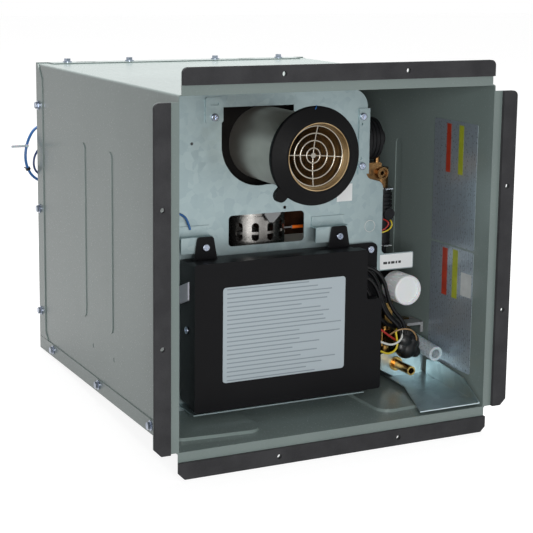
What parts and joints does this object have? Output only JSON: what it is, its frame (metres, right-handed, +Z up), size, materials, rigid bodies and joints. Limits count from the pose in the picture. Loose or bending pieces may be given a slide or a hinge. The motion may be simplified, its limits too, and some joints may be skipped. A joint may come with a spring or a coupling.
{
  "type": "caravan water heater",
  "caption": "Instantaneous gas water heater for a caravan: sheet casing with an open flanged mouth, flue, control box, burner, blower and water fittings.",
  "frame": {"origin": "centre of the casing's underside, midway between the mouth and the back panel", "axes": "+X to the right seen from the front, +Y from the mouth to the back, +Z up"},
  "size_m": [0.3692, 0.413, 0.358],
  "materials": {
    "casing_paint": "satin grey-green enamel",
    "screw_steel": "zinc-plated steel",
    "foam": "matt closed-cell foam",
    "galvanised": "galvanised sheet",
    "sticker": "paper-faced film",
    "box_black": "satin black moulding",
    "board": "coated glass-fibre board with components",
    "label_silver": "satin silver film",
    "sleeve_grey": "matt woven sleeve",
    "stainless": "brushed stainless sheet",
    "seal_rubber": "moulded silicone rubber",
    "copper": "bare copper",
    "burner_steel": "heat-tinted stainless",
    "cast_alloy": "cast alloy",
    "ceramic": "glazed ceramic",
    "fan_plastic": "matt black moulding",
    "motor_steel": "plated steel",
    "clip_grey": "grey moulding",
    "cap_white": "white moulding",
    "mesh_white": "white moulding",
    "spring_steel": "spring steel",
    "brass_parts": "machined brass",
    "clear_tube": "translucent silicone",
    "tray_paint": "galvanised sheet",
    "gas_pipe_steel": "bare aluminium tube",
    "cable_black": "black sheathing",
    "wire_red": "coloured insulation",
    "lead_blue": "blue insulation"
  },
  "bodies": {
    "root": {"casing_wrap": "casing_paint", "bottom_pan": "casing_paint", "rear_cover": "casing_paint", "casing_screws": "screw_steel", "plate_screws": "screw_steel", "foam_strips": "foam", "mount_plate": "galvanised", "plate_brackets": "galvanised", "box_supports": "galvanised", "plate_labels": "sticker", "control_box_cover": "box_black", "control_box_base": "box_black", "circuit_board": "board", "rating_plate": "label_silver", "wall_label": "label_silver", "side_sleeve": "sleeve_grey", "flue_outer_tube": "stainless", "flue_inner_tube": "stainless", "flue_guard": "stainless", "exhaust_hood": "stainless", "burner_box": "stainless", "flue_seal_ring": "seal_rubber", "heat_exchanger_shell": "copper", "heat_exchanger_fins": "copper", "heat_exchanger_pipes": "copper", "hot_pipe": "copper", "cold_pipe": "copper", "burner_bars": "burner_steel", "gas_manifold": "cast_alloy", "blower_housing": "cast_alloy", "gas_valve_body": "cast_alloy", "spark_electrodes": "ceramic", "air_pressure_switch": "fan_plastic", "flow_sensor_body": "fan_plastic", "filter_housing": "fan_plastic", "gas_solenoid": "fan_plastic", "motor_can": "motor_steel", "motor_clip": "clip_grey", "sensor_clips": "spring_steel", "outlet_elbow": "brass_parts", "drain_valve": "brass_parts", "relief_valve": "brass_parts", "rear_fittings": "brass_parts", "relief_tube": "clear_tube", "drip_tray": "tray_paint", "gas_pipe": "gas_pipe_steel", "taped_bundle": "cable_black", "cable_bundle": "cable_black", "rear_grommets": "cable_black", "lead_ties": "cable_black", "coloured_wires": "wire_red", "rear_lead_outer": "lead_blue", "rear_lead_inner": "lead_blue"},
    "rotor": {"fan_wheel": "fan_plastic", "motor_shaft": "motor_steel"},
    "turbine": {"flow_turbine": "mesh_white"},
    "lever": {"relief_lever": "clip_grey"},
    "strainer": {"filter_strainer": "mesh_white"},
    "cap": {"filter_cap": "cap_white"},
    "plunger": {"solenoid_plunger": "spring_steel"}
  },
  "joints": [
    {"name": "fan_spin", "type": "hinge", "parent": "root", "child": "rotor", "pos_m": [-0.025, -0.0505, 0.118], "axis": [0, 0, 1], "continuous": true},
    {"name": "turbine_spin", "type": "hinge", "parent": "root", "child": "turbine", "pos_m": [0.115, -0.0645, 0.171], "axis": [0, 0, 1], "continuous": true},
    {"name": "relief_lift", "type": "hinge", "parent": "root", "child": "lever", "pos_m": [0.147, -0.0655, 0.058], "axis": [-1, 0, 0], "range_deg": [0, 75], "stiffness_Nm_per_rad": 0.05, "springref_deg": -17.19},
    {"name": "strainer_slide", "type": "slide", "parent": "root", "child": "strainer", "axis": [0, -1, 0], "range_m": [0, 0.009]},
    {"name": "cap_turn", "type": "hinge", "parent": "strainer", "child": "cap", "pos_m": [0.122, -0.0995, 0.102], "axis": [0, -1, 0], "range_deg": [0, 1081]},
    {"name": "plunger_lift", "type": "slide", "parent": "root", "child": "plunger", "axis": [0, 0, 1], "range_m": [0, 0.003], "stiffness_N_per_m": 150, "springref_m": -0.002}
  ],
  "couplings": [
    {"joint": "cap_turn", "follows": "strainer_slide", "rad_per_m": 2094.4}
  ]
}
